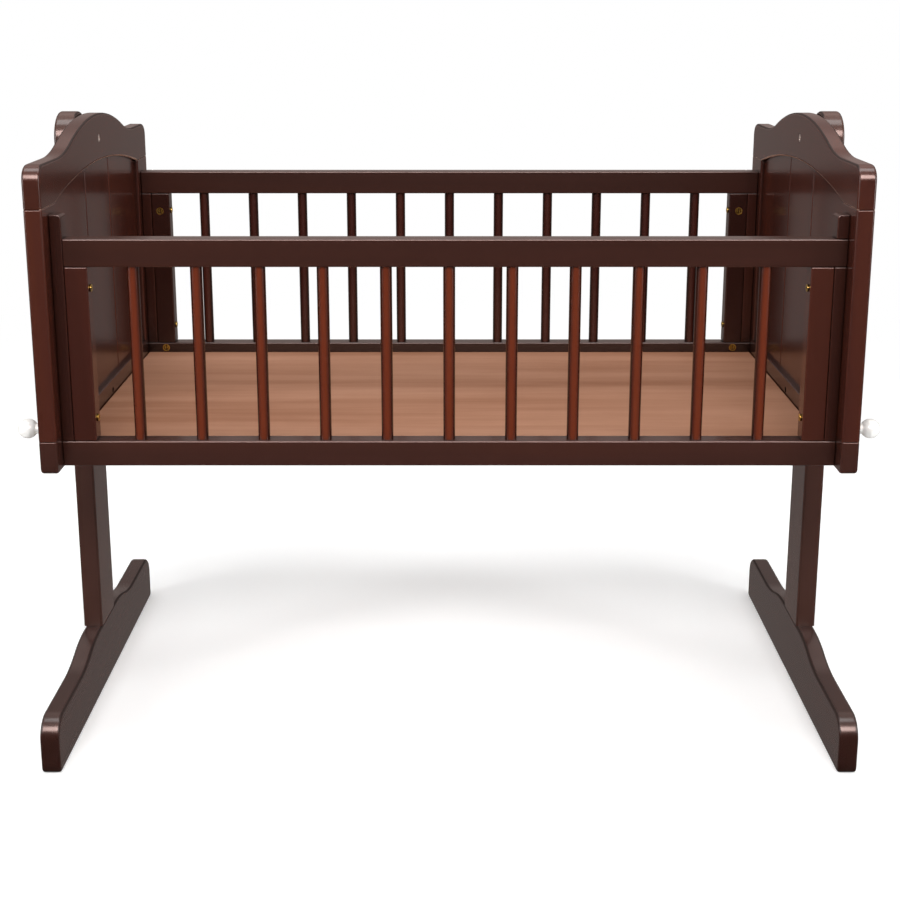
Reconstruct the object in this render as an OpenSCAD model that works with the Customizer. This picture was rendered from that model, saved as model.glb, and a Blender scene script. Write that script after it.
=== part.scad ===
// Swinging cradle on a stand: a slatted cradle hung from two pivot bolts between two posts.
// X runs along the cradle, Y from front to back, Z up. The origin is on the floor, in the middle.

/* [Cradle] */
// Length of the cradle over its end panels
cradle_l = 960; // [800:10:1100]
// Depth of the end panels, front to back
panel_d = 545; // [500:5:620]
// Thickness of the end frames
end_t = 21; // [19:1:26]
// Height of the seam between stiles and crest, above the bottom of the end panel
crest_seam = 314; // [302:1:340]
// Height of the seam between bottom rail and stiles
rail_seam = 40; // [37:1:42]
// Width of the stiles
stile_w = 60; // [54:1:66]
// Height of the crest's shoulders
shoulder_h = 364; // [353:1:380]
// Height of the crest's middle
crest_h = 400; // [395:1:410]
// Radius of the crest's outer corners
shoulder_r = 18; // [8:1:24]
// Rise of the arch under the crest
arch_rise = 25; // [15:1:30]

/* [Side frames] */
// Thickness of the side frames
side_t = 22; // [20:1:26]
// How far the side frames stand back from the panels' edges
side_set = 24; // [20:1:30]
// Underside of the bottom rails, above the bottom of the end panel
low_rail_z = 3; // [0:0.5:4]
// Height of the bottom rails
low_rail_h = 31; // [30:1:33]
// Height of the top rails
top_rail_h = 33; // [28:1:40]
// Underside of the front top rail
front_rail_z = 244; // [239:1:251]
// Underside of the back top rail
back_rail_z = 263; // [253:1:267]
// Width of the uprights
upright_w = 27; // [24:1:32]
// Width of the corner cleats
cleat_w = 14; // [12:1:16]
// Top of the front corner cleats
cleat_h = 305; // [301:1:309]
// Spindles in each side
spindles = 11; // [7:2:13]
// Distance between spindles
spindle_pitch = 73.5; // [50:0.5:75]
// Diameter of a spindle
spindle_d = 14; // [12:0.5:18]

/* [Deck] */
// Top of the mattress board
deck_z = 19.5; // [19:0.5:21]
// Thickness of the mattress board
deck_t = 9; // [6:0.5:10]

/* [Stand] */
// Height of the pivots above the floor
pivot_z = 764; // [740:1:820]
// Height of the pivots above the bottom of the end panels
pivot_up = 368; // [363:1:373]
// Gap between an end panel and its post
post_gap = 3; // [2.5:0.5:6]
// Thickness of the posts
post_t = 26; // [24:1:32]
// Width of the posts, front to back
post_w = 70; // [64:1:80]
// Length of the feet, front to back
foot_l = 524; // [460:4:640]
// Thickness of the feet
foot_t = 24; // [22:1:26]
// Height of the feet under the posts
foot_h = 89; // [84:1:100]
// Height of the feet at their ends
toe_h = 71; // [60:1:76]

/* [Hidden] */

wood = "#3b1f1a";
deck_wood = "#a97a5c";
brass = "#b08d4a";
dark_steel = "#3a3432";
white = "#efece6";

$fn = 48;
fine = 360;                             // facets of the wide curves
fit = 0.1;                              // looseness of a hole round the piece fixed in it
edge = 2;                               // rounding along the edges of bars

// Planes of the cradle, as distances from the middle
x_out = cradle_l / 2;
x_in = x_out - end_t;
x_mid = x_out - end_t / 2;
x_cleat = x_in - cleat_w;
x_upright = x_cleat - upright_w;
y_out = panel_d / 2;
y_stile = y_out - stile_w;
y_side = y_out - side_set;
y_deck = y_side - side_t;
y_frame = y_side - side_t / 2;
hang_z = pivot_z - pivot_up;
low_rail_top = low_rail_z + low_rail_h;

// An S-curve is a hump and a cove that meet at a common slope. The sum of their radii follows from
// its length and rise. The cove is a trace wider than that, so that the two arcs always cross.
function radius_sum(length, rise) = (length * length + rise * rise) / (2 * rise);
function tidy_r(r) = round(100 * r) / 100;
cove_trace = 0.05;

// Crest
dip_y = 195;                            // where the coves end in the flat shoulders
turn_y = 135;                           // where the hump turns into the coves
curve_sum = radius_sum(dip_y, crest_h - shoulder_h);
hump_r = tidy_r(curve_sum * turn_y / dip_y);
cove_r = tidy_r(curve_sum - hump_r) + cove_trace;
hump_y = (turn_y + dip_y) / 2;          // the hump's arc runs on below the cove to here
arch_r = (y_stile * y_stile + arch_rise * arch_rise) / (2 * arch_rise);
arch_c = crest_seam + arch_rise - arch_r;

// Beadboard in its groove
bead_t = 9;
bead_in = 5;                            // depth of the groove
bead_slack = 0.3;
vee_y = 60;                             // V joints between the boards, each side of the middle
vee = 1.6;                              // depth of a V joint

// Fasteners
bolt_r = 4;
bolt_head_r = 7;
bolt_head_t = 4;
nut_r = 5.5;
nut_l = 16;
nut_rim = 1.3;
nut_drop = 26.5;                        // barrel nut below the top rail
nut_x = x_cleat - upright_w / 2 + 1;
rail_bolt_z = 26;
screw_r = 2.5;
screw_head_r = 4.5;
screw_head_t = 1.6;
upright_screw_z = 60;
dowel_r = 4;
dowel_half = 20;
dowel_off = 14;                         // dowels each side of a stile's middle
tenon_r = 5;
tenon_l = 12;
spindle_xs = [for (k = [0 : spindles - 1]) (k - (spindles - 1) / 2) * spindle_pitch];
ledger_w = 16;
ledger_h = deck_z - deck_t - low_rail_z;
ledger_screw_xs = [-380, 0, 380];

// Pivot
pivot_r = 4;
bush_r = 6;
running = 0.05;                         // radial clearance of what turns or slides
washer_t = 2.2;
pivot_core_r = 3;                       // the bolt inside its sleeve nut
sleeve_in = 10;                         // length of the sleeve inside the post
sleeve_head_r = 5.5;
sleeve_head_t = 2.2;
sleeve_set = 0.3;                       // head below the face of the crest
bush_set = 3;                           // bush below the face of the crest
socket_af = 5;                          // hexagon sockets, across flats
socket_deep = 2;
flange_af = 3;

// Lock pin parked in the front stile, and the holes that it locks
pin_r = 4;
pin_y = -240;
pin_z = 47;
pin_in = 44;                            // length inside the wood
lock_z = 25;                            // lock hole above the bottom of the end panel
knob_r = 11.75;
knob_half = 10.5;
knob_x = x_out + 21;
stem_r = 6;

// Stand
post_in = x_out + post_gap;
post_out = post_in + post_t;
post_mid = (post_in + post_out) / 2;
foot_curve = 105;                       // length of the rise from toe to middle
foot_flat = 45;                         // half of the level part under the post
foot_rise = foot_h - toe_h;
foot_hump_r = tidy_r(radius_sum(foot_curve, foot_rise) / 2);
foot_cove_r = foot_hump_r + cove_trace;
foot_turn = foot_flat + foot_curve / 2;
toe_r = 28;
heel_r = 7;
brace_t = 20;
brace_h = 46;
brace_z = 322;
brace_bolt_z = [brace_z + 11, brace_z + brace_h - 11];
brace_bolt_r = 3;
foot_bolt_y = 20;
foot_bolt_top = foot_h + 52;
foot_nut_z = foot_h + 38;
foot_sink = 12;

// A block between pairs of coordinates given in any order
module block(x, y, z) {
    translate([min(x), min(y), min(z)])
        cube([abs(x[1] - x[0]), abs(y[1] - y[0]), abs(z[1] - z[0])]);
}

// A rectangle with round corners
module soft_rect(a, b, r) {
    translate([r, 0]) square([a - 2 * r, b]);
    translate([0, r]) square([a, b - 2 * r]);
    for (u = [r, a - r], v = [r, b - r])
        translate([u, v]) circle(r, $fn = 32);
}

// Bars with rounded long edges, along X and along Z
module bar_x(x, y, z, r = edge) {
    translate([min(x), min(y), min(z)]) rotate([90, 0, 90])
        linear_extrude(abs(x[1] - x[0])) soft_rect(abs(y[1] - y[0]), abs(z[1] - z[0]), r);
}

module bar_z(x, y, z, r = edge) {
    translate([min(x), min(y), min(z)])
        linear_extrude(abs(z[1] - z[0])) soft_rect(abs(x[1] - x[0]), abs(y[1] - y[0]), r);
}

// Round rods and holes along the three axes
module rod_x(x, y, z, r) {
    translate([min(x), y, z]) rotate([0, 90, 0]) cylinder(h = abs(x[1] - x[0]), r = r);
}

module rod_y(x, y, z, r) {
    translate([x, max(y), z]) rotate([90, 0, 0]) cylinder(h = abs(y[1] - y[0]), r = r);
}

module rod_z(x, y, z, r) {
    translate([x, y, min(z)]) cylinder(h = abs(z[1] - z[0]), r = r);
}

// A plate in an end panel: s is -1 left or 1 right, and x gives its two planes
module plate(s, x) {
    translate([min(s * x[0], s * x[1]), 0, 0]) rotate([90, 0, 90])
        linear_extrude(abs(x[1] - x[0])) children();
}

// Everything in the cradle is drawn from the bottom of its end panels
module hung() {
    translate([0, 0, hang_z]) children();
}

function rail_z(f) = f < 0 ? front_rail_z : back_rail_z;
function lapped(s, f) = !(s < 0 && f < 0);

// ---- holes that several pieces share, in cradle heights ----

module frame_bolt_holes(s, f, r) {
    rod_x([s * (x_upright - 2), s * (x_out + 1)], f * y_frame, rail_z(f) - nut_drop, r);
}

module rail_bolt_hole(s, f, r) {
    rod_x([s * (nut_x - 9), s * (x_out + 1)], f * y_frame, rail_bolt_z, r);
}

module barrel_nut_hole(s, f, z) {
    rod_y(s * nut_x, [f * (y_deck - 1), f * (y_deck + nut_l)], z, nut_r + fit / 2);
}

module upright_screw_hole(s, f) {
    rod_x([s * (x_upright - 1), s * (x_in + 11)], f * y_frame, upright_screw_z, screw_r + fit);
}

module dowel_holes(s, f, z) {
    reach = dowel_half + 1;
    for (d = [-dowel_off, dowel_off])
        rod_z(s * x_mid, f * (y_out - stile_w / 2) + d, [z - reach, z + reach], dowel_r + fit);
}

module lock_pin_hole(s) {
    rod_x([s * (x_out - pin_in - 0.5), s * (x_out + 1)], pin_y, pin_z, pin_r + running);
}

module cleat_screw(s, f, z, extra = 0) {
    rod_x([s * x_cleat, s * (x_in + 12 + extra)], f * (y_frame + 5), z, screw_r - 0.5 + extra);
    translate([s * x_cleat, f * (y_frame + 5), z]) rotate([0, s * 90, 0])
        cylinder(h = 2.5, r1 = screw_head_r - 0.5 + extra, r2 = screw_r - 0.5 + extra);
}

function cleat_screw_zs(f) = [rail_z(f) - 60, 113];

// A hexagon socket along X, by its size across flats
module socket(x, flats = socket_af) {
    translate([min(x), 0, 0]) rotate([0, 90, 0])
        cylinder(h = abs(x[1] - x[0]), r = flats / sqrt(3), $fn = 6);
}

// ---- end panels ----

// The beadboard, or the groove that holds it, by how far it reaches into the frame round it
module bead_plate(s, reach) {
    plate(s, [x_mid - bead_t / 2, x_mid + bead_t / 2]) intersection() {
        translate([0, arch_c]) circle(arch_r + reach, $fn = fine);
        translate([-y_stile - reach, rail_seam - reach]) square([2 * (y_stile + reach), crest_h]);
    }
}

module crest_outline() {
    difference() {
        union() {
            intersection() {
                translate([-hump_y, crest_seam]) square([2 * hump_y, crest_h]);
                translate([0, crest_h - hump_r]) circle(hump_r, $fn = fine);
            }
            for (f = [0, 1]) mirror([f, 0]) {
                difference() {
                    translate([turn_y, crest_seam]) square([dip_y - turn_y, crest_h - crest_seam]);
                    translate([dip_y, shoulder_h + cove_r]) circle(cove_r, $fn = fine);
                }
                translate([dip_y, crest_seam]) square([y_out - dip_y, shoulder_h - shoulder_r - crest_seam]);
                translate([dip_y, crest_seam]) square([y_out - shoulder_r - dip_y, shoulder_h - crest_seam]);
                translate([y_out - shoulder_r, shoulder_h - shoulder_r]) circle(shoulder_r);
            }
        }
        translate([0, arch_c]) circle(arch_r, $fn = fine);
    }
}

module crest(s) {
    color(wood) hung() difference() {
        plate(s, [x_in, x_out]) crest_outline();
        bead_plate(s, bead_in);
        rod_x([s * (x_in - 1), s * (x_out + 1)], 0, pivot_up, bush_r + fit / 2);
        for (f = [-1, 1]) dowel_holes(s, f, crest_seam);
    }
}

module stile(s, f) {
    color(wood) hung() difference() {
        block([s * x_in, s * x_out], [f * y_stile, f * y_out], [rail_seam, crest_seam]);
        bead_plate(s, bead_in);
        dowel_holes(s, f, crest_seam);
        dowel_holes(s, f, rail_seam);
        frame_bolt_holes(s, f, bolt_r + fit);
        upright_screw_hole(s, f);
        for (z = cleat_screw_zs(f)) cleat_screw(s, f, z, fit);
        if (f < 0) lock_pin_hole(s);
    }
}

module end_rail_outline() {
    translate([-y_out, heel_r]) square([panel_d, rail_seam - heel_r]);
    translate([-y_out + heel_r, 0]) square([panel_d - 2 * heel_r, rail_seam]);
    for (f = [-1, 1]) translate([f * (y_out - heel_r), heel_r]) circle(heel_r);
}

module end_rail(s) {
    color(wood) hung() difference() {
        plate(s, [x_in, x_out]) end_rail_outline();
        bead_plate(s, bead_in);
        rod_x([s * (x_in - 1), s * (x_out + 1)], 0, lock_z, pin_r + running);
        for (f = [-1, 1]) {
            dowel_holes(s, f, rail_seam);
            rail_bolt_hole(s, f, bolt_r + fit);
        }
    }
}

module beadboard(s) {
    color(wood) hung() difference() {
        bead_plate(s, bead_in - bead_slack);
        for (f = [-1, 1], x = [x_mid - bead_t / 2, x_mid + bead_t / 2])
            translate([s * x, f * vee_y, rail_seam - bead_in - 1]) rotate([0, 0, 45])
                translate([-vee, -vee, 0]) cube([2 * vee, 2 * vee, crest_h]);
    }
}

module pivot_bush(s) {
    color(white) hung() difference() {
        rod_x([s * (x_in + bush_set), s * x_out], 0, pivot_up, bush_r);
        rod_x([s * (x_in - 1), s * (x_out + 1)], 0, pivot_up, pivot_r + running);
    }
}

module dowels() {
    color(deck_wood) hung()
        for (s = [-1, 1], f = [-1, 1], z = [crest_seam, rail_seam], d = [-dowel_off, dowel_off])
            rod_z(s * x_mid, f * (y_out - stile_w / 2) + d, [z - dowel_half, z + dowel_half], dowel_r);
}

// ---- side frames ----

// A cleat stands on the bottom rail. At the front its top shows, with a round inner corner,
// and at the back it ends square, level with the top rail.
module cleat_outline(s, f) {
    top = f < 0 ? cleat_h : back_rail_z + top_rail_h;
    r = f < 0 ? 2 * edge : 0;
    translate([min(s * x_cleat, s * x_in), low_rail_top])
        square([cleat_w, top - low_rail_top - r]);
    if (r > 0) {
        translate([min(s * (x_cleat + r), s * x_in), low_rail_top])
            square([cleat_w - r, top - low_rail_top]);
        translate([s * (x_cleat + r), top - r]) circle(r);
    }
}

module corner_cleat(s, f) {
    color(wood) hung() difference() {
        translate([0, max(f * y_side, f * y_deck), 0]) rotate([90, 0, 0])
            linear_extrude(side_t) cleat_outline(s, f);
        if (lapped(s, f))
            block([s * (x_cleat - 1), s * (x_in + 1)], [lap_y(f)[0] - 1, lap_y(f)[1]],
                  [rail_z(f), rail_z(f) + top_rail_h]);
        frame_bolt_holes(s, f, bolt_r + fit);
        upright_screw_hole(s, f);
        for (z = cleat_screw_zs(f)) cleat_screw(s, f, z, fit);
        if (f < 0) lock_pin_hole(s);
    }
}

// A lapped end keeps the half of the rail's thickness that faces the front
function lap_y(f) = [f * y_frame - side_t / 2, f * y_frame + 1];
function rail_end(s, f) = s * (lapped(s, f) ? x_in : x_cleat);

module top_rail(f) {
    color(wood) hung() difference() {
        bar_x([rail_end(-1, f), rail_end(1, f)], [f * y_deck, f * y_side],
              [rail_z(f), rail_z(f) + top_rail_h]);
        for (s = [-1, 1]) if (lapped(s, f))
            block([s * x_cleat, s * (x_in + 1)], [lap_y(f)[1], f * y_frame + side_t],
                  [rail_z(f) - 1, rail_z(f) + top_rail_h + 1]);
        spindle_sockets(f, rail_z(f));
    }
}

module bottom_rail(f) {
    color(wood) hung() difference() {
        bar_x([-x_in, x_in], [f * y_deck, f * y_side], [low_rail_z, low_rail_top]);
        spindle_sockets(f, low_rail_top - tenon_l);
        for (s = [-1, 1]) {
            rail_bolt_hole(s, f, bolt_r + fit);
            barrel_nut_hole(s, f, rail_bolt_z);
        }
        for (x = ledger_screw_xs) ledger_screw(x, f, fit);
    }
}

module spindle_sockets(f, z) {
    for (x = spindle_xs)
        rod_z(x, f * y_frame, [z - 0.5, z + tenon_l + 0.5], tenon_r + fit);
}

module spindle_row(f) {
    color(wood) hung()
        for (x = spindle_xs) {
            rod_z(x, f * y_frame, [low_rail_top, rail_z(f)], spindle_d / 2);
            rod_z(x, f * y_frame, [low_rail_top - tenon_l, rail_z(f) + tenon_l], tenon_r);
        }
}

module upright(s, f) {
    color(wood) hung() difference() {
        bar_z([s * x_upright, s * x_cleat], [f * y_deck, f * y_side], [low_rail_top, rail_z(f)]);
        frame_bolt_holes(s, f, bolt_r + fit);
        barrel_nut_hole(s, f, rail_z(f) - nut_drop);
        upright_screw_hole(s, f);
        if (f < 0) lock_pin_hole(s);
    }
}

// ---- deck ----

module mattress_board() {
    color(deck_wood) hung()
        block([-x_in + 1, x_in - 1], [-y_deck + 1, y_deck - 1], [deck_z - deck_t, deck_z]);
}

module ledger_screw(x, f, extra = 0) {
    rod_y(x, [f * (y_deck - ledger_w), f * (y_deck + 12 + extra)], low_rail_z + ledger_h / 2, 1.5 + extra);
}

module side_ledger(f) {
    color(wood) hung() difference() {
        block([-x_in + ledger_w + 1, x_in - ledger_w - 1],
              [f * y_deck, f * (y_deck - ledger_w)], [low_rail_z, low_rail_z + ledger_h]);
        for (x = ledger_screw_xs) ledger_screw(x, f, fit);
    }
}

module end_ledger(s) {
    color(wood) hung()
        block([s * x_in, s * (x_in - ledger_w)], [-y_deck + 1, y_deck - 1],
              [low_rail_z, low_rail_z + ledger_h]);
}

// ---- fasteners of the cradle ----

// Each bolt has a domed head with a hexagon socket. The upper ones reach through the upright
// and end there in a small flange.
module frame_bolts() {
    color(brass) hung()
        for (s = [-1, 1], f = [-1, 1]) {
            rod_x([s * (nut_x - 8), s * x_out], f * y_frame, rail_bolt_z, bolt_r);
            for (z = [rail_z(f) - nut_drop, rail_bolt_z])
                translate([s * x_out, f * y_frame, z]) difference() {
                    rotate([0, s * 90, 0]) bolt_dome();
                    socket([s * (bolt_head_t - socket_deep), s * (bolt_head_t + 1)]);
                }
            translate([0, f * y_frame, rail_z(f) - nut_drop]) {
                rod_x([s * (x_upright - 0.4), s * x_out], 0, 0, bolt_r);
                difference() {
                    rod_x([s * (x_upright - screw_head_t), s * x_upright], 0, 0, screw_head_r);
                    socket([s * (x_upright - screw_head_t - 1), s * (x_upright - 0.6)], flange_af);
                }
            }
        }
}

// The cap of a sphere on a short rim, as a profile turned round the axis
module bolt_dome() {
    rim = 1;
    cap = bolt_head_t - rim;
    cap_r = (bolt_head_r * bolt_head_r + cap * cap) / (2 * cap);
    rotate_extrude() intersection() {
        translate([0, bolt_head_t - cap_r]) circle(cap_r, $fn = 96);
        square([bolt_head_r, bolt_head_t + 1]);
    }
}

module barrel_nuts() {
    color(brass) hung()
        for (s = [-1, 1], f = [-1, 1], z = [rail_z(f) - nut_drop, rail_bolt_z])
            difference() {
                rod_y(s * nut_x, [f * (y_deck + 0.5), f * (y_deck + nut_l)], z, nut_r);
                rod_x([s * (nut_x - 9), s * (nut_x + 9)], f * y_frame, z, bolt_r + fit);
                // round dish with a slot across its floor, to turn the nut in line with the bolt
                rod_y(s * nut_x, [f * y_deck, f * (y_deck + 2.5)], z, nut_r - nut_rim);
                block([s * nut_x - 0.7, s * nut_x + 0.7], [f * y_deck, f * (y_deck + 4)],
                      [z - nut_r + nut_rim + 0.2, z + nut_r - nut_rim - 0.2]);
            }
}

module upright_screws() {
    z = upright_screw_z;
    color(brass) hung()
        for (s = [-1, 1], f = [-1, 1]) {
            rod_x([s * x_upright, s * (x_in + 10)], f * y_frame, z, screw_r);
            difference() {
                rod_x([s * (x_upright - screw_head_t), s * x_upright], f * y_frame, z, screw_head_r);
                for (cross = [[2.6, 0.5], [0.5, 2.6]])
                    block([s * (x_upright - screw_head_t - 1), s * (x_upright - 0.6)],
                          [f * y_frame - cross[0], f * y_frame + cross[0]], [z - cross[1], z + cross[1]]);
            }
        }
}

module cleat_screws() {
    color(dark_steel) hung()
        for (s = [-1, 1], f = [-1, 1], z = cleat_screw_zs(f)) cleat_screw(s, f, z);
}

module ledger_screws() {
    color(dark_steel) hung()
        for (f = [-1, 1], x = ledger_screw_xs) ledger_screw(x, f);
}

// ---- lock pins ----

module lock_pin(s) {
    color(dark_steel) hung()
        rod_x([s * (x_out - pin_in), s * (x_out + 14)], pin_y, pin_z, pin_r);
}

module knob(s) {
    color(white) hung() translate([s * x_out, pin_y, pin_z]) rotate([0, s * 90, 0])
        difference() {
            rotate_extrude() {
                translate([0, 0.3]) square([stem_r, knob_x - x_out]);
                intersection() {
                    translate([0, knob_x - x_out]) circle(knob_r, $fn = 96);
                    translate([0, knob_x - x_out - knob_half]) square([knob_r, 2 * knob_half]);
                }
            }
            translate([0, 0, -1]) cylinder(h = 15 + fit, r = pin_r + fit / 2);
        }
}

// ---- stand ----

module foot_outline() {
    for (f = [0, 1]) mirror([f, 0]) {
        square([foot_flat, foot_h]);
        // hump beside the post
        intersection() {
            translate([foot_flat, 0]) square([0.75 * foot_curve, foot_h + 1]);
            translate([foot_flat, foot_h - foot_hump_r]) circle(foot_hump_r, $fn = fine);
        }
        // cove down to the toe
        difference() {
            translate([foot_turn, 0]) square([foot_curve / 2, foot_h]);
            translate([foot_flat + foot_curve, toe_h + foot_cove_r]) circle(foot_cove_r, $fn = fine);
        }
        // toe
        translate([foot_flat + foot_curve, 0])
            square([foot_l / 2 - toe_r - foot_flat - foot_curve, toe_h]);
        translate([foot_l / 2 - toe_r, toe_h - toe_r]) circle(toe_r, $fn = 96);
        translate([foot_l / 2 - toe_r, heel_r]) square([toe_r, toe_h - toe_r - heel_r]);
        translate([foot_l / 2 - toe_r, 0]) square([toe_r - heel_r, heel_r]);
        translate([foot_l / 2 - heel_r, heel_r]) circle(heel_r);
    }
}

module foot(s) {
    color(wood) difference() {
        plate(s, [post_in, post_in + foot_t]) foot_outline();
        for (y = [-foot_bolt_y, foot_bolt_y]) {
            rod_z(s * post_mid, y, [-1, foot_h + 1], bolt_r + fit);
            rod_z(s * post_mid, y, [-1, foot_sink], bolt_head_r + 1);
        }
    }
}

module post_outline() {
    translate([-post_w / 2, foot_h]) square([post_w, pivot_z - foot_h]);
    translate([0, pivot_z]) circle(post_w / 2, $fn = 128);
}

module post(s) {
    color(wood) difference() {
        plate(s, [post_in, post_out]) post_outline();
        rod_x([s * (post_in - 1), s * (post_out + 1)], 0, pivot_z, pivot_r + fit);
        rod_x([s * (post_in - 1), s * (post_out + 1)], 0, hang_z + lock_z, pin_r + running);
        for (z = brace_bolt_z) rod_x([s * (post_in - 1), s * (post_out + 1)], 0, z, brace_bolt_r + fit);
        for (y = [-foot_bolt_y, foot_bolt_y]) {
            rod_z(s * post_mid, y, [foot_h - 1, foot_bolt_top + 1], bolt_r + fit);
            rod_x([s * (post_out - 20), s * (post_out + 1)], y, foot_nut_z, nut_r + fit);
        }
    }
}

module stretcher() {
    color(wood) difference() {
        bar_x([-post_in, post_in], [-brace_t / 2, brace_t / 2], [brace_z, brace_z + brace_h]);
        for (s = [-1, 1], z = brace_bolt_z) {
            rod_x([s * (post_in - 42), s * (post_in + 1)], 0, z, brace_bolt_r + fit);
            rod_y(s * (post_in - 32), [-6, brace_t / 2 + 1], z, nut_r + fit / 2);
        }
    }
}

module foot_bolts() {
    color(dark_steel)
        for (s = [-1, 1], y = [-foot_bolt_y, foot_bolt_y]) {
            rod_z(s * post_mid, y, [foot_sink, foot_bolt_top], bolt_r);
            rod_z(s * post_mid, y, [foot_sink - bolt_head_t, foot_sink], bolt_head_r);
        }
}

module stretcher_bolts() {
    color(dark_steel)
        for (s = [-1, 1], z = brace_bolt_z) {
            rod_x([s * (post_in - 41), s * post_out], 0, z, brace_bolt_r);
            rod_x([s * post_out, s * (post_out + 3)], 0, z, brace_bolt_r * 2);
        }
}

module stand_nuts() {
    color(dark_steel)
        for (s = [-1, 1]) {
            for (y = [-foot_bolt_y, foot_bolt_y]) difference() {
                rod_x([s * (post_out - 20), s * (post_out - 0.5)], y, foot_nut_z, nut_r);
                rod_z(s * post_mid, y, [foot_nut_z - 8, foot_nut_z + 8], bolt_r + fit);
            }
            for (z = brace_bolt_z) difference() {
                rod_y(s * (post_in - 32), [-6, brace_t / 2 - 0.5], z, nut_r);
                rod_x([s * (post_in - 40), s * (post_in - 24)], 0, z, brace_bolt_r + fit);
            }
        }
}

module pivot_bolt(s) {
    color(dark_steel) {
        rod_x([s * (x_in + 7), s * post_out], 0, pivot_z, pivot_core_r);
        translate([s * post_out, 0, pivot_z]) rotate([0, s * 90, 0]) {
            cylinder(h = 2, r = 11);
            translate([0, 0, 2]) cylinder(h = 5, r = 7.5, $fn = 6);
        }
    }
}

module pivot_washers() {
    color(dark_steel)
        for (s = [-1, 1]) difference() {
            rod_x([s * (post_in - washer_t), s * post_in], 0, pivot_z, 11);
            rod_x([s * (x_out - 1), s * (post_in + 1)], 0, pivot_z, pivot_r + fit);
        }
}

// A sleeve nut on each bolt: its head lies in the crest, and its sleeve turns in the bush
module pivot_nuts() {
    head = x_in + sleeve_set;
    color(dark_steel)
        for (s = [-1, 1]) translate([0, 0, pivot_z]) difference() {
            union() {
                rod_x([s * head, s * (head + sleeve_head_t)], 0, 0, sleeve_head_r);
                rod_x([s * (head + sleeve_head_t), s * (post_in + sleeve_in)], 0, 0, pivot_r);
            }
            rod_x([s * (x_in + 6), s * (post_in + sleeve_in + 1)], 0, 0, pivot_core_r + fit / 2);
            socket([s * (head - 1), s * (head + socket_deep)]);
        }
}

foot(-1);  // left_foot
foot(1);  // right_foot
post(-1);  // left_post
post(1);  // right_post
stretcher();
foot_bolts();
stretcher_bolts();
stand_nuts();
pivot_bolt(-1);  // left_pivot_bolt
pivot_bolt(1);  // right_pivot_bolt
pivot_washers();
pivot_nuts();
crest(-1);  // left_crest
crest(1);  // right_crest
stile(-1, -1);  // left_front_stile
stile(-1, 1);  // left_back_stile
stile(1, -1);  // right_front_stile
stile(1, 1);  // right_back_stile
end_rail(-1);  // left_end_rail
end_rail(1);  // right_end_rail
beadboard(-1);  // left_beadboard
beadboard(1);  // right_beadboard
pivot_bush(-1);  // left_pivot_bush
pivot_bush(1);  // right_pivot_bush
corner_cleat(-1, -1);  // left_front_cleat
corner_cleat(-1, 1);  // left_back_cleat
corner_cleat(1, -1);  // right_front_cleat
corner_cleat(1, 1);  // right_back_cleat
top_rail(-1);  // front_top_rail
top_rail(1);  // back_top_rail
bottom_rail(-1);  // front_bottom_rail
bottom_rail(1);  // back_bottom_rail
upright(-1, -1);  // left_front_upright
upright(-1, 1);  // left_back_upright
upright(1, -1);  // right_front_upright
upright(1, 1);  // right_back_upright
spindle_row(-1);  // front_spindles
spindle_row(1);  // back_spindles
mattress_board();
side_ledger(-1);  // front_ledger
side_ledger(1);  // back_ledger
end_ledger(-1);  // left_ledger
end_ledger(1);  // right_ledger
dowels();  // frame_dowels
frame_bolts();
barrel_nuts();
upright_screws();
cleat_screws();
ledger_screws();
lock_pin(-1);  // left_lock_pin
knob(-1);  // left_knob
lock_pin(1);  // right_lock_pin
knob(1);  // right_knob
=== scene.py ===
import math

import bpy
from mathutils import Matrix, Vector

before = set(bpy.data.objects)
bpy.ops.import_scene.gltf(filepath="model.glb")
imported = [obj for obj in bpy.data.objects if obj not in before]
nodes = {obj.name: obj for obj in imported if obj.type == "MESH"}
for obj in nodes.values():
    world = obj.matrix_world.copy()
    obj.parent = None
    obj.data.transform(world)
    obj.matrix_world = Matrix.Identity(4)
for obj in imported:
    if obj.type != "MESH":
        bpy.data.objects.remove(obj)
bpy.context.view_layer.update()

scene = bpy.context.scene
scene.view_settings.view_transform = "Standard"
print("frame loaded:", len(nodes), "nodes")


# A socket that can be used in sums: each sign adds its Math node
class Wire:
    def __init__(self, net, socket):
        self.net = net
        self.socket = socket

    def __add__(self, other):
        return self.net.maths("ADD", self, other)

    def __radd__(self, other):
        return self.net.maths("ADD", other, self)

    def __sub__(self, other):
        return self.net.maths("SUBTRACT", self, other)

    def __rsub__(self, other):
        return self.net.maths("SUBTRACT", other, self)

    def __mul__(self, other):
        return self.net.maths("MULTIPLY", self, other)

    def __rmul__(self, other):
        return self.net.maths("MULTIPLY", other, self)

    def __neg__(self):
        return self.net.maths("MULTIPLY", self, -1)

    def __abs__(self):
        return self.net.maths("ABSOLUTE", self)


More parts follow.
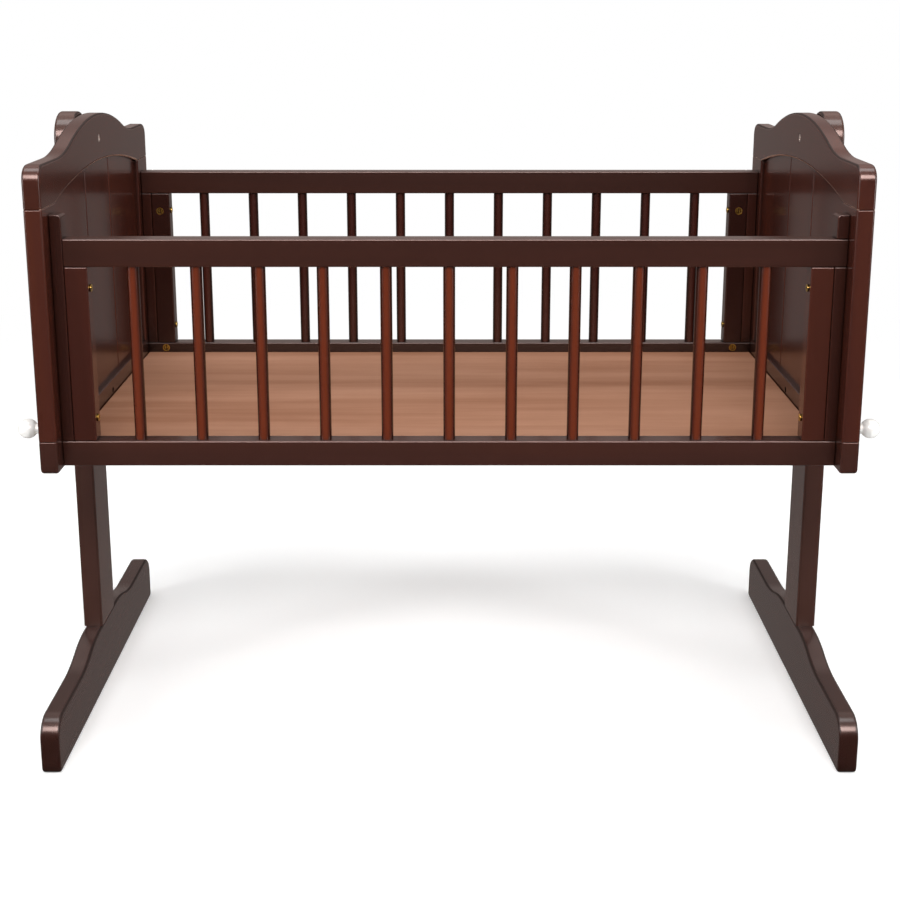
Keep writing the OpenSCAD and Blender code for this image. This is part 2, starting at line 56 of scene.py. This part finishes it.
# A node tree being written: add() makes any node, and its settings come before its sockets
class Net:
    def __init__(self, tree):
        self.tree = tree
        tree.nodes.clear()

    def add(self, kind, settings=None, sockets=None, output=0):
        node = self.tree.nodes.new(kind)
        for name, value in (settings or {}).items():
            if name == "stops":
                self.setStops(node.color_ramp, value)
            else:
                setattr(node, name, value)
        for name, value in (sockets or {}).items():
            if isinstance(value, Wire):
                self.tree.links.new(value.socket, node.inputs[name])
            else:
                node.inputs[name].default_value = value
        return Wire(self, node.outputs[output]) if len(node.outputs) else node

    def setStops(self, ramp, stops):
        while len(ramp.elements) < len(stops):
            ramp.elements.new(0.5)
        for element, (place, shade) in zip(ramp.elements, stops):
            element.position = place
            element.color = shade

    def outputs(self, wire):
        # all the outputs of the node that a wire comes from
        return [Wire(self, socket) for socket in wire.socket.node.outputs]

    def maths(self, operation, *values):
        return self.add("ShaderNodeMath", {"operation": operation}, dict(enumerate(values)))

    def most(self, first, second):
        return self.maths("MAXIMUM", first, second)

    def step(self, value, edge, below, above):
        # one number up to the edge, another beyond it
        return self.maths("GREATER_THAN", value, edge) * (above - below) + below

    def fade(self, value, low, high):
        # 0 below low and 1 above high, smooth in between
        return self.add("ShaderNodeMapRange", {"interpolation_type": "SMOOTHSTEP"},
                        {"Value": value, "From Min": low, "From Max": high})

    def vector(self, operation, first, second, output=0):
        return self.add("ShaderNodeVectorMath", {"operation": operation}, {0: first, 1: second}, output)

    def parts(self, vector):
        return self.outputs(self.add("ShaderNodeSeparateXYZ", None, {0: vector}))

    def blend(self, share, under, over):
        return self.add("ShaderNodeMix", {"data_type": "RGBA"}, {0: share, 6: under, 7: over}, output=2)

    def ramp(self, value, places, tones):
        stops = [(place, colour(tone)) for place, tone in zip(places, tones)]
        return self.add("ShaderNodeValToRGB", {"stops": stops}, {"Fac": value})

    def noise(self, place, scale, detail, rough, warp=0.0):
        return self.add("ShaderNodeTexNoise", None, {
            "Vector": place, "Scale": scale, "Detail": detail, "Roughness": rough, "Distortion": warp})

    def openness(self, reach, samples):
        # 1 out in the open, less where something stands within reach
        return self.add("ShaderNodeAmbientOcclusion", {"samples": samples}, {"Distance": reach}, "AO")

    def layer(self, share, under, over):
        return self.add("ShaderNodeMixShader", None, {0: share, 1: under, 2: over})


def colour(text):
    # a written colour such as "6b3a2a", as the linear values that Blender works in
    parts = [int(text[k:k + 2], 16) / 255 for k in (0, 2, 4)]
    return tuple(p / 12.92 if p <= 0.04045 else ((p + 0.055) / 1.055) ** 2.4 for p in parts) + (1,)


def grey(level):
    return (level, level, level, 1)


def startFinish(name):
    material = bpy.data.materials.new(name)
    material.use_nodes = True
    return material, Net(material.node_tree)


def endFinish(net, values, bump, bumpDepth):
    # the values of the surface shader by socket name, and the height that makes its bump
    values["Normal"] = net.add("ShaderNodeBump", None, {
        "Height": bump, "Strength": 1.0, "Distance": bumpDepth})
    surface = net.add("ShaderNodeBsdfPrincipled", None, values)
    net.add("ShaderNodeOutputMaterial", None, {"Surface": surface})


# In the finishes below a noise is its scale, detail, roughness and warp, a pair of numbers is the
# range over which a mask fades in, and a share is how much of a colour is laid over the one below.
# Depths, widths and reaches are in metres.

# Stained wood under satin lacquer. The grain runs along one axis of the frame.
stain = {
    "tones": ("36170f", "3e1b13", "4a2012"),
    "toneStops": (0.30, 0.50, 0.75),
    "figure": (11.0, 3, 0.55, 0.8),
    "figureStretch": 0.055,
    "pores": (1500.0, 2, 0.5),
    "poreStretch": 0.02,
    "poreRange": (0.56, 0.66),
    "poreShare": 0.04,
    "poreRough": 0.01,
    "poreDepth": 0.0000002,
    "shiftStep": (0.37, 0.53, 0.71),    # moves the pattern on from one piece to the next
    "roughLow": 0.20,
    "roughHigh": 0.28,
    "footRough": 0.02,                  # the feet are that much duller
    "specular": 0.40,
    "coat": 0.22,
    "coatRough": 0.10,
    "coatIor": 1.4,
}

# Where the finish is worn, and where light and shade are painted into the colour
wearAndPaintedLight = {
    "edge": "5f2c1d",                   # paler along every edge: partly stain worn thin, partly a painted highlight
    "edgeShare": 0.35,
    "edgeWidth": 0.0018,
    "edgeSamples": 4,
    "edgeTurn": (0.002, 0.10),
    "corner": "100503",                 # painted shade: darker where pieces meet and close under things
    "cornerShadeReach": 0.045,
    "cornerShadeSamples": 6,
    "cornerShadeOpen": (0.20, 0.80),
    "shaded": "1c0905",                 # painted shade on the spindles' sides
    "shadedShare": 0.90,
    "shadedTurn": (0.20, 0.95),
    "cutPieces": ("crest", "foot", "post"),
    "dull": "160805",                   # painted shade: a dark line along the upper arrises of the cut pieces
    "dullRough": 0.75,
    "arrisHighlight": "f0c8b2",                 # painted highlight: a pale line along the lower arrises of the crests
    "arrisHighlightShare": 0.7,
}

# Shares of the normal along an axis: where it leaves a board's edge and where it comes to the
# board's face, and where it counts as pointing up, down or to the front
arris = {
    "fromEdge": (0.10, 0.40),
    "toFace": (0.80, 0.98),
    "up": (0.05, 0.30),
    "down": (0.20, 0.50),
    "front": (0.35, 0.60),
}

# Tints for some pieces, the colour and its share: the back spindles, back uprights, back rails, cleats
# and left crest are darkened as painted shade, where they stand in shade; the others differ in tone
woodToneAndShade = {
    "front_spindles": ("722c10", 0.60),
    "back_spindles": ("3c1a16", 0.50),
    "back_upright": ("140806", 0.60),
    "back_bottom_rail": ("140806", 0.60),
    "_rail": ("33221d", 0.45),
    "back_top_rail": ("1c0e0a", 0.20),
    "front_top_rail": ("2a120b", 0.35),
    "cleat": ("1c0c07", 0.45),
    "left_crest": ("1e0d09", 0.30),
    "foot": ("1e100c", 0.60),
    "post": ("45352f", 0.45),
}


def woodPlace(net, along, stretch, shift=(0, 0, 0)):
    # coordinates squeezed along the grain, so that every pattern is drawn out that way
    place = net.add("ShaderNodeTexCoord", output="Object")
    squeeze = [stretch if axis == along else 1.0 for axis in "xyz"]
    return net.add("ShaderNodeMapping", None, {"Vector": place, "Scale": squeeze, "Location": shift})


def edgeMask(net):
    # 1 where the surface turns within the edge's width, from the rounded normal against its own
    rounded = net.add("ShaderNodeBevel", {"samples": wearAndPaintedLight["edgeSamples"]}, {"Radius": wearAndPaintedLight["edgeWidth"]})
    own = net.add("ShaderNodeNewGeometry", output="Normal")
    facing = net.vector("DOT_PRODUCT", rounded, own, "Value")
    return net.fade(1 - facing, *wearAndPaintedLight["edgeTurn"])


def arrisMasks(net):
    # two masks on the round edges of a piece cut from board, where the normal stands between the
    # board's face along X and its edge: the upper ones, and the lower ones
    across, back, up = net.parts(net.add("ShaderNodeNewGeometry", output="Normal"))
    between = net.fade(abs(across), *arris["fromEdge"]) * (1 - net.fade(abs(across), *arris["toFace"]))
    upper = between * net.fade(up, *arris["up"]) * (1 - net.fade(-back, *arris["front"]))
    return upper, between * net.fade(-up, *arris["down"])


def stainTone(net, piece, figure, pore):
    tone = net.ramp(figure, stain["toneStops"], stain["tones"])
    # some pieces' own tone, and painted shade on the back pieces, the cleats and the left crest
    for part, (tint, share) in woodToneAndShade.items():
        if part in piece:
            tone = net.blend(share, tone, colour(tint))
    # painted shade: the spindles darker towards their sides, where a round piece turns from the light
    if "spindles" in piece:
        across = net.parts(net.add("ShaderNodeNewGeometry", output="Normal"))[0]
        side = net.fade(abs(across), *wearAndPaintedLight["shadedTurn"])
        tone = net.blend(side * wearAndPaintedLight["shadedShare"], tone, colour(wearAndPaintedLight["shaded"]))
    tone = net.blend(pore * stain["poreShare"], tone, colour(stain["tones"][0]))
    # paler along every edge, partly as worn stain and partly as a painted highlight
    tone = net.blend(edgeMask(net) * wearAndPaintedLight["edgeShare"], tone, colour(wearAndPaintedLight["edge"]))
    # painted shade: darker where something stands close by, in corners and where pieces meet
    free = net.openness(wearAndPaintedLight["cornerShadeReach"], wearAndPaintedLight["cornerShadeSamples"])
    return net.blend(net.fade(free, *wearAndPaintedLight["cornerShadeOpen"]), colour(wearAndPaintedLight["corner"]), tone)


def stainedWood(piece, along, count=0):
    # the count of the piece sets its own stretch of grain
    material, net = startFinish(piece + "_wood")
    shift = [count * step for step in stain["shiftStep"]]
    figure = net.noise(woodPlace(net, along, stain["figureStretch"], shift), *stain["figure"])
    pores = net.noise(woodPlace(net, along, stain["poreStretch"], shift), *stain["pores"])
    pore = net.fade(pores, *stain["poreRange"])
    tone = stainTone(net, piece, figure, pore)
    low = stain["roughLow"] + (stain["footRough"] if "foot" in piece else 0)
    rough = figure * (stain["roughHigh"] - stain["roughLow"]) + low + pore * stain["poreRough"]
    coat = stain["coat"]
    if any(part in piece for part in wearAndPaintedLight["cutPieces"]):
        dull, arrisHighlight = arrisMasks(net)
        # painted shade: a dark line on the upper arrises of crests, feet and posts, which also get
        # rougher and lose their coat
        tone = net.blend(dull, tone, colour(wearAndPaintedLight["dull"]))
        # painted highlight: a pale line on the lower arrises of the crests
        if "crest" in piece:
            tone = net.blend(arrisHighlight * wearAndPaintedLight["arrisHighlightShare"], tone, colour(wearAndPaintedLight["arrisHighlight"]))
        rough = rough * (1 - dull) + dull * wearAndPaintedLight["dullRough"]
        coat = (1 - dull) * stain["coat"]
    endFinish(net, {
        "Base Color": tone,
        "Roughness": rough,
        "Specular IOR Level": stain["specular"],
        "Coat Weight": coat,
        "Coat Roughness": stain["coatRough"],
        "Coat IOR": stain["coatIor"],
    }, 1 - pore, stain["poreDepth"])
    return material


# The mattress board: pale brown, matt, with long soft streaks
board = {
    "tones": ("8f6249", "a1745b", "ae8168"),
    "toneStops": (0.36, 0.50, 0.66),
    "streak": (20.0, 5, 0.6, 0.3),
    "streakStretch": 0.06,
    "cloud": (7.0, 2, 0.5),
    "cloudStretch": 0.4,
    "cloudShift": (3, 1, 0),
    "cloudShare": 0.25,
    "fibre": (900.0, 2, 0.5),
    "fibreStretch": 0.03,
    "fibreRange": (0.52, 0.72),
    "fibreShare": 0.30,
    "fibreDepth": 0.00005,
    "rough": 0.55,
    "roughSpread": 0.15,
    "specular": 0.16,
}


def boardWood():
    material, net = startFinish("boardWood")
    streak = net.noise(woodPlace(net, "x", board["streakStretch"]), *board["streak"])
    cloud = net.noise(woodPlace(net, "x", board["cloudStretch"], board["cloudShift"]), *board["cloud"])
    fibre = net.noise(woodPlace(net, "x", board["fibreStretch"]), *board["fibre"])
    figure = streak * (1 - board["cloudShare"]) + cloud * board["cloudShare"]
    tone = net.ramp(figure, board["toneStops"], board["tones"])
    lines = net.fade(fibre, *board["fibreRange"]) * board["fibreShare"]
    endFinish(net, {
        "Base Color": net.blend(lines, tone, colour(board["tones"][0])),
        "Roughness": streak * board["roughSpread"] + board["rough"],
        "Specular IOR Level": board["specular"],
    }, fibre, board["fibreDepth"])
    return material


# Bare wood of the dowels inside the joints
dowel = {
    "tones": ("a67c50", "cfa777"),
    "toneStops": (0.35, 0.65),
    "fibre": (700.0, 3, 0.6),
    "fibreStretch": 0.05,
    "fibreDepth": 0.00005,
    "rough": 0.6,
    "roughSpread": 0.2,
}


def rawDowel():
    material, net = startFinish("rawDowel")
    fibre = net.noise(woodPlace(net, "z", dowel["fibreStretch"]), *dowel["fibre"])
    endFinish(net, {
        "Base Color": net.ramp(fibre, dowel["toneStops"], dowel["tones"]),
        "Roughness": fibre * dowel["roughSpread"] + dowel["rough"],
    }, fibre, dowel["fibreDepth"])
    return material


# Plain metals: fine scratches in the gloss, a breath of tarnish in the colour, and on brass painted shade
# in its hollows
metals = {
    "brass": {"clean": "e0c468", "dull": "a88c3c", "rough": 0.20, "hollowShade": "140d04"},
    "pivotSteel": {"clean": "f2eeea", "dull": "c8c4c0", "rough": 0.14},
    "darkSteel": {"clean": "4a4543", "dull": "2c2826", "rough": 0.36},
    "pinSteel": {"clean": "c4c4c6", "dull": "8d8d90", "rough": 0.28},
}
metalGrain = {
    "cloud": (260.0, 4, 0.6),
    "cloudRange": (0.40, 0.72),
    "scratch": (2600.0, 2, 0.5, 1.5),
    "scratchRough": 0.16,
    "scratchDepth": 0.00001,
    "recessReach": 0.006,               # painted shade in the hollows, such as the dishes of the brass nuts
    "recessSamples": 8,
    "recessOpen": (0.50, 0.85),
}


def metal(name):
    look = metals[name]
    material, net = startFinish(name)
    place = net.add("ShaderNodeTexCoord", output="Object")
    cloud = net.noise(place, *metalGrain["cloud"])
    scratch = net.noise(place, *metalGrain["scratch"])
    tarnish = net.fade(cloud, *metalGrain["cloudRange"])
    tone = net.blend(tarnish, colour(look["clean"]), colour(look["dull"]))
    # painted shade: the brass goes near black in its hollows, such as the dishes of the barrel nuts
    if "hollowShade" in look:
        free = net.openness(metalGrain["recessReach"], metalGrain["recessSamples"])
        tone = net.blend(net.fade(free, *metalGrain["recessOpen"]), colour(look["hollowShade"]), tone)
    endFinish(net, {
        "Base Color": tone,
        "Metallic": 1.0,
        "Roughness": scratch * metalGrain["scratchRough"] + look["rough"],
    }, scratch, metalGrain["scratchDepth"])
    return material


# Moulded plastics: a soft mottle and the faintest orange peel
plastics = {
    "whiteKnob": {"tone": "fbfaf7", "shade": "efede8", "rough": 0.22, "peelDepth": 0.00002},
    "nylon": {"tone": "dcd9d0", "shade": "c9c5ba", "rough": 0.48, "peelDepth": 0.00005},
}
plasticGrain = {
    "mottle": (120.0, 3, 0.5),
    "mottleRange": (0.35, 0.75),
    "mottleRough": 0.10,
    "peel": (1400.0, 2, 0.5),
    "coat": 0.2,
    "coatRough": 0.12,
}


def plastic(name):
    look = plastics[name]
    material, net = startFinish(name)
    place = net.add("ShaderNodeTexCoord", output="Object")
    mottle = net.noise(place, *plasticGrain["mottle"])
    peel = net.noise(place, *plasticGrain["peel"])
    share = net.fade(mottle, *plasticGrain["mottleRange"])
    endFinish(net, {
        "Base Color": net.blend(share, colour(look["tone"]), colour(look["shade"])),
        "Roughness": mottle * plasticGrain["mottleRough"] + look["rough"],
        "Coat Weight": plasticGrain["coat"],
        "Coat Roughness": plasticGrain["coatRough"],
    }, peel, look["peelDepth"])
    return material


# Rounded edges on the solids, and smooth shading where the surface is round. Edges at the seams
# between crest, stile and bottom rail are rounded less, and the rims of holes not at all.
softness = {
    "weld": 0.00001,
    "flat": 1.0,            # degrees: flatter joins between faces are dissolved first
    "sharp": 32.0,          # degrees: sharper edges are rounded
    "segments": 4,          # steps of the rounding on wood, and on hardware
    "smallSegments": 2,
    "seamShare": 0.42,      # of the full rounding
    "rimEdge": 0.00125,     # shorter edges are a hole's rim, unless they lie at a corner of the piece
    "corner": 0.0021,
    "near": 0.0004,         # how close a height counts as the same
    "nowhere": -1.0,        # a height below every piece
}
stileBox = nodes["left_front_stile"].bound_box
seamLow, seamHigh = (way(corner[2] for corner in stileBox) for way in (min, max))
panelIn, panelOut = (way(abs(corner[0]) for corner in stileBox) for way in (min, max))
footTop = max(corner[2] for corner in nodes["left_foot"].bound_box)


def startTree(name, *numbers):
    # a tree for a modifier, with the mesh and some numbers as its inputs
    tree = bpy.data.node_groups.new(name, "GeometryNodeTree")
    for way in ("INPUT", "OUTPUT"):
        tree.interface.new_socket("Geometry", in_out=way, socket_type="NodeSocketGeometry")
    for number in numbers:
        tree.interface.new_socket(number, in_out="INPUT", socket_type="NodeSocketFloat")
    net = Net(tree)
    return tree, net, net.outputs(net.add("NodeGroupInput"))[:1 + len(numbers)]


def isSharp(net, which):
    # with the signed angle, only for edges that stick out
    angle = net.add("GeometryNodeInputMeshEdgeAngle", output=which)
    return net.add("FunctionNodeCompare", {"data_type": "FLOAT", "operation": "GREATER_THAN"}, {
        0: angle, 1: math.radians(softness["sharp"])})


def cornerGap(net, end, low, high):
    # how far an edge's end is from the two nearest sides of the piece's box, added up
    gap = net.vector("MINIMUM", net.vector("SUBTRACT", end, low), net.vector("SUBTRACT", high, end))
    x, y, z = net.parts(gap)
    return x + y + z - net.most(x, net.most(y, z))


def awayFrom(net, places, level):
    # how far the farther of an edge's two ends is from a level
    return net.most(*(abs(place - level) for place in places))


def weightTree():
    # the share of the rounding that each edge gets, in the attribute that the bevel reads
    tree, net, (mesh, square) = startTree("edgeWeights", "Square")
    ends = net.outputs(net.add("GeometryNodeInputMeshEdgeVertices"))[2:]
    length = net.vector("DISTANCE", *ends, "Value")
    heights = [net.parts(end)[2] for end in ends]
    depths = [abs(net.parts(end)[0]) for end in ends]
    _, low, high = net.outputs(net.add("GeometryNodeBoundBox", None, {"Geometry": mesh}))
    gaps = [cornerGap(net, end, low, high) for end in ends]
    inside = net.step(net.most(*gaps), softness["corner"], 0, 1)
    share = 1 - inside * net.step(length, softness["rimEdge"], 1, 0)
    for level, rest in ((seamLow, softness["seamShare"]), (seamHigh, softness["seamShare"]), (square, 0)):
        share = share * net.step(awayFrom(net, heights, level), softness["near"], rest, 1)
    # the grooves, within the thickness of the end panels
    middle = (panelIn + panelOut) / 2
    share = share * net.step(awayFrom(net, depths, middle), panelOut - middle - softness["near"], 0, 1)
    share = share * isSharp(net, "Signed Angle")
    weighted = net.add("GeometryNodeStoreNamedAttribute", {"data_type": "FLOAT", "domain": "EDGE"}, {
        "Geometry": mesh, "Name": "bevel_weight_edge", "Value": share})
    net.add("NodeGroupOutput", None, {0: weighted})
    return tree


def shadeTree():
    # smooth shading up to an angle
    tree, net, (mesh,) = startTree("shadeByAngle")
    faces = net.add("GeometryNodeSetShadeSmooth", {"domain": "FACE"}, {"Geometry": mesh})
    soft = net.add("FunctionNodeBooleanMath", {"operation": "NOT"}, {0: isSharp(net, "Unsigned Angle")})
    edges = net.add("GeometryNodeSetShadeSmooth", {"domain": "EDGE"}, {
        "Geometry": faces, "Shade Smooth": soft})
    net.add("NodeGroupOutput", None, {0: edges})
    return tree


roundTree = weightTree()
smoothTree = shadeTree()


def setSquare(modifier, height):
    # the height at which a piece keeps sharp edges
    socket = next(item for item in modifier.node_group.interface.items_tree if item.name == "Square")
    modifier[socket.identifier] = height


def addBevel(node, width, weighted):
    bevel = node.modifiers.new("bevel", "BEVEL")
    bevel.width = width
    bevel.segments = softness["segments"] if weighted else softness["smallSegments"]
    bevel.limit_method = "WEIGHT" if weighted else "ANGLE"
    bevel.angle_limit = math.radians(softness["sharp"])
    bevel.use_clamp_overlap = not weighted
    bevel.miter_outer = "MITER_ARC"
    bevel.loop_slide = False


def soften(node, width, weighted):
    weld = node.modifiers.new("weld", "WELD")
    weld.merge_threshold = softness["weld"]
    if width:
        planar = node.modifiers.new("planar", "DECIMATE")
        planar.decimate_type = "DISSOLVE"
        planar.angle_limit = math.radians(softness["flat"])
        if weighted:
            weights = node.modifiers.new("weights", "NODES")
            weights.node_group = roundTree
            setSquare(weights, footTop if "post" in node.name else softness["nowhere"])
        addBevel(node, width, weighted)
    shade = node.modifiers.new("shade", "NODES")
    shade.node_group = smoothTree
    even = node.modifiers.new("even", "WEIGHTED_NORMAL")
    even.keep_sharp = True


def dress(name, material, width, weighted=False):
    node = nodes[name]
    node.data.materials.clear()
    node.data.materials.append(material)
    soften(node, width, weighted)


# Which way the grain runs in each piece of stained wood, and how far edges are rounded, in metres:
# the first part of a name that fits counts
woodPieces = {
    "x": ["front_top_rail", "back_top_rail", "front_bottom_rail", "back_bottom_rail", "stretcher",
          "front_ledger", "back_ledger"],
    "y": ["left_foot", "right_foot", "left_crest", "right_crest", "left_end_rail", "right_end_rail",
          "left_ledger", "right_ledger"],
    "z": ["left_post", "right_post", "left_front_stile", "left_back_stile", "right_front_stile",
          "right_back_stile", "left_beadboard", "right_beadboard", "left_front_cleat", "left_back_cleat",
          "right_front_cleat", "right_back_cleat", "left_front_upright", "left_back_upright",
          "right_front_upright", "right_back_upright"],
}
woodRound = {"foot": 0.0036, "post": 0.0036, "crest": 0.0036, "stile": 0.0034, "end_rail": 0.0034,
             "beadboard": 0.0006, "cleat": 0.0014, "rail": 0.0014, "upright": 0.0016,
             "stretcher": 0.0006, "ledger": 0.0006}
otherRound = {"board": 0.0010, "hardware": 0.0004, "bush": 0.0003, "knob": 0.0008}

count = 0
for along, names in woodPieces.items():
    for name in names:
        count += 1
        width = next(width for part, width in woodRound.items() if part in name)
        dress(name, stainedWood(name, along, count), width, weighted=True)
for name in ("front_spindles", "back_spindles"):
    dress(name, stainedWood(name, "z"), 0)
dress("mattress_board", boardWood(), otherRound["board"], weighted=True)
print("wood finished")

hardware = {
    "brass": ["frame_bolts", "barrel_nuts", "upright_screws"],
    "darkSteel": ["foot_bolts", "stretcher_bolts", "stand_nuts", "left_pivot_bolt", "right_pivot_bolt",
                  "pivot_washers", "cleat_screws", "ledger_screws"],
    "pivotSteel": ["pivot_nuts"],
    "pinSteel": ["left_lock_pin", "right_lock_pin"],
}
for finish, names in hardware.items():
    material = metal(finish)
    for name in names:
        dress(name, material, otherRound["hardware"])
nylon = plastic("nylon")
for name in ("left_pivot_bush", "right_pivot_bush"):
    dress(name, nylon, otherRound["bush"])
knobPlastic = plastic("whiteKnob")
for name in ("left_knob", "right_knob"):
    dress(name, knobPlastic, otherRound["knob"])
dress("frame_dowels", rawDowel(), 0)
print("hardware finished")


# The floor: white, with soft grey shadows
ground = {
    "half": 12.0,
    "tone": 0.80,               # for the light that it throws back up
    "seenTone": 1.50,           # for the camera: white where it is lit, and grey in a shadow
    "glowNear": 0.42,           # share of plain white in what the camera sees, beside the object
    "glowFar": (0.9, 2.6),      # distances between which that share grows to all of it
    "nearShade": 0.40,          # how much darker the plain white is close under things
    "nearReach": 0.22,
    "nearSamples": 8,
}


def floorWhite():
    material, net = startFinish("floorWhite")
    camera = net.add("ShaderNodeLightPath", output="Is Camera Ray")
    place = net.add("ShaderNodeNewGeometry", output="Position")
    away = net.vector("DISTANCE", place, (0, 0, 0), "Value")
    share = net.fade(away, *ground["glowFar"]) * (1 - ground["glowNear"]) + ground["glowNear"]
    unseen, seen = (net.add("ShaderNodeBsdfDiffuse", None, {"Color": grey(ground[tone])})
                    for tone in ("tone", "seenTone"))
    shaded, white = (net.add("ShaderNodeEmission", None, {"Color": grey(level)})
                     for level in (1 - ground["nearShade"], 1))
    glow = net.layer(net.openness(ground["nearReach"], ground["nearSamples"]), shaded, white)
    surface = net.layer(camera * share, net.layer(camera, unseen, seen), glow)
    net.add("ShaderNodeOutputMaterial", None, {"Surface": surface})
    return material


def makeFloor():
    half = ground["half"]
    corners = [(x, y, 0) for x, y in ((-half, -half), (half, -half), (half, half), (-half, half))]
    mesh = bpy.data.meshes.new("floor")
    mesh.from_pydata(corners, [], [(0, 1, 2, 3)])
    mesh.materials.append(floorWhite())
    floor = bpy.data.objects.new("floor", mesh)
    scene.collection.objects.link(floor)
    floor.visible_glossy = False


# The surround: white to the camera, a soft light to matt surfaces, and to gloss a dark front, a
# brighter back and a bright ceiling. The pairs are directions between which one becomes the other.
surround = {
    "light": 0.27,
    "glossFront": 0.05,
    "glossGround": 0.26,
    "glossSky": 0.42,
    "glossTop": 1.0,
    "glossTint": "ffebe4",
    "horizon": (-0.10, 0.14),
    "frontToBack": (-0.5, 0.5),
    "ceiling": (0.50, 0.80),
}


def makeSurround():
    world = bpy.data.worlds.new("surround")
    scene.world = world
    world.use_nodes = True
    net = Net(world.node_tree)
    _, back, up = net.parts(net.add("ShaderNodeTexCoord", output="Generated"))
    front, low, high = (surround[level] for level in ("glossFront", "glossGround", "glossSky"))
    behind = net.fade(up, *surround["horizon"]) * (high - low) + low
    gloss = net.fade(back, *surround["frontToBack"]) * (behind - front) + front
    gloss = gloss + net.fade(up, *surround["ceiling"]) * surround["glossTop"]
    camera, glossy, through = (net.add("ShaderNodeLightPath", output="Is " + ray + " Ray")
                               for ray in ("Camera", "Glossy", "Transmission"))
    seen = net.most(camera, through)
    level = glossy * gloss + (1 - glossy) * surround["light"]
    sky = net.add("ShaderNodeBackground", None, {
        "Color": net.blend(glossy, grey(1), colour(surround["glossTint"])),
        "Strength": seen + (1 - seen) * level})
    net.add("ShaderNodeOutputWorld", None, {"Surface": sky})


# Each lamp lights either the matt part of the finishes or their gloss, or both
lamps = {
    "front": {"place": (0.0, -2.6, 2.4), "size": (2.2, 0.6), "watts": 55.0, "lights": "matt"},
    "glint": {"place": (0.0, -2.5, 2.0), "size": (3.2, 1.1), "watts": 220.0, "lights": "gloss",
              "tint": "ffe0d8"},
    "top": {"place": (0.0, -0.4, 2.5), "size": (2.6, 0.8), "watts": 30.0, "lights": "both"},
    "left": {"place": (-2.4, -1.2, 1.1), "size": (0.6, 1.6), "watts": 26.0, "lights": "both"},
    "right": {"place": (2.4, -1.2, 1.1), "size": (0.6, 1.6), "watts": 27.0, "lights": "both"},
    "back": {"place": (0.0, 2.6, 1.6), "size": (2.2, 0.8), "watts": 12.0, "lights": "matt"},
}
aim = Vector((0.0, 0.0, 0.5))


def makeLamp(name, look):
    data = bpy.data.lights.new(name, "AREA")
    data.shape = "RECTANGLE"
    data.size, data.size_y = look["size"]
    data.energy = look["watts"]
    data.color = colour(look.get("tint", "ffffff"))[:3]
    lamp = bpy.data.objects.new(name, data)
    lamp.location = look["place"]
    lamp.rotation_euler = (aim - lamp.location).to_track_quat("-Z", "Y").to_euler()
    lamp.visible_glossy = look["lights"] != "matt"
    lamp.visible_diffuse = look["lights"] != "gloss"
    scene.collection.objects.link(lamp)


# The camera. Frame, focal length and axis are in pixels of the picture, and the sensor in mm.
view = {
    "frame": 900,
    "focal": 1363.5,
    "axis": (450.2, 300),
    "sensor": 36.0,
    "place": (0.0012, -1.7915, 0.9424),
    "tilt": 12.46,          # degrees below level
    "nearest": 0.05,
}


def makeCamera():
    data = bpy.data.cameras.new("camera")
    data.sensor_width = view["sensor"]
    data.lens = view["sensor"] * view["focal"] / view["frame"]
    data.shift_x = (view["frame"] / 2 - view["axis"][0]) / view["frame"]
    data.shift_y = (view["axis"][1] - view["frame"] / 2) / view["frame"]
    data.clip_start = view["nearest"]
    camera = bpy.data.objects.new("camera", data)
    camera.location = view["place"]
    camera.rotation_euler = (math.radians(90 - view["tilt"]), 0, 0)
    scene.collection.objects.link(camera)
    scene.camera = camera


makeFloor()
makeSurround()
for name, look in lamps.items():
    makeLamp(name, look)
makeCamera()
print("room, light and camera made")
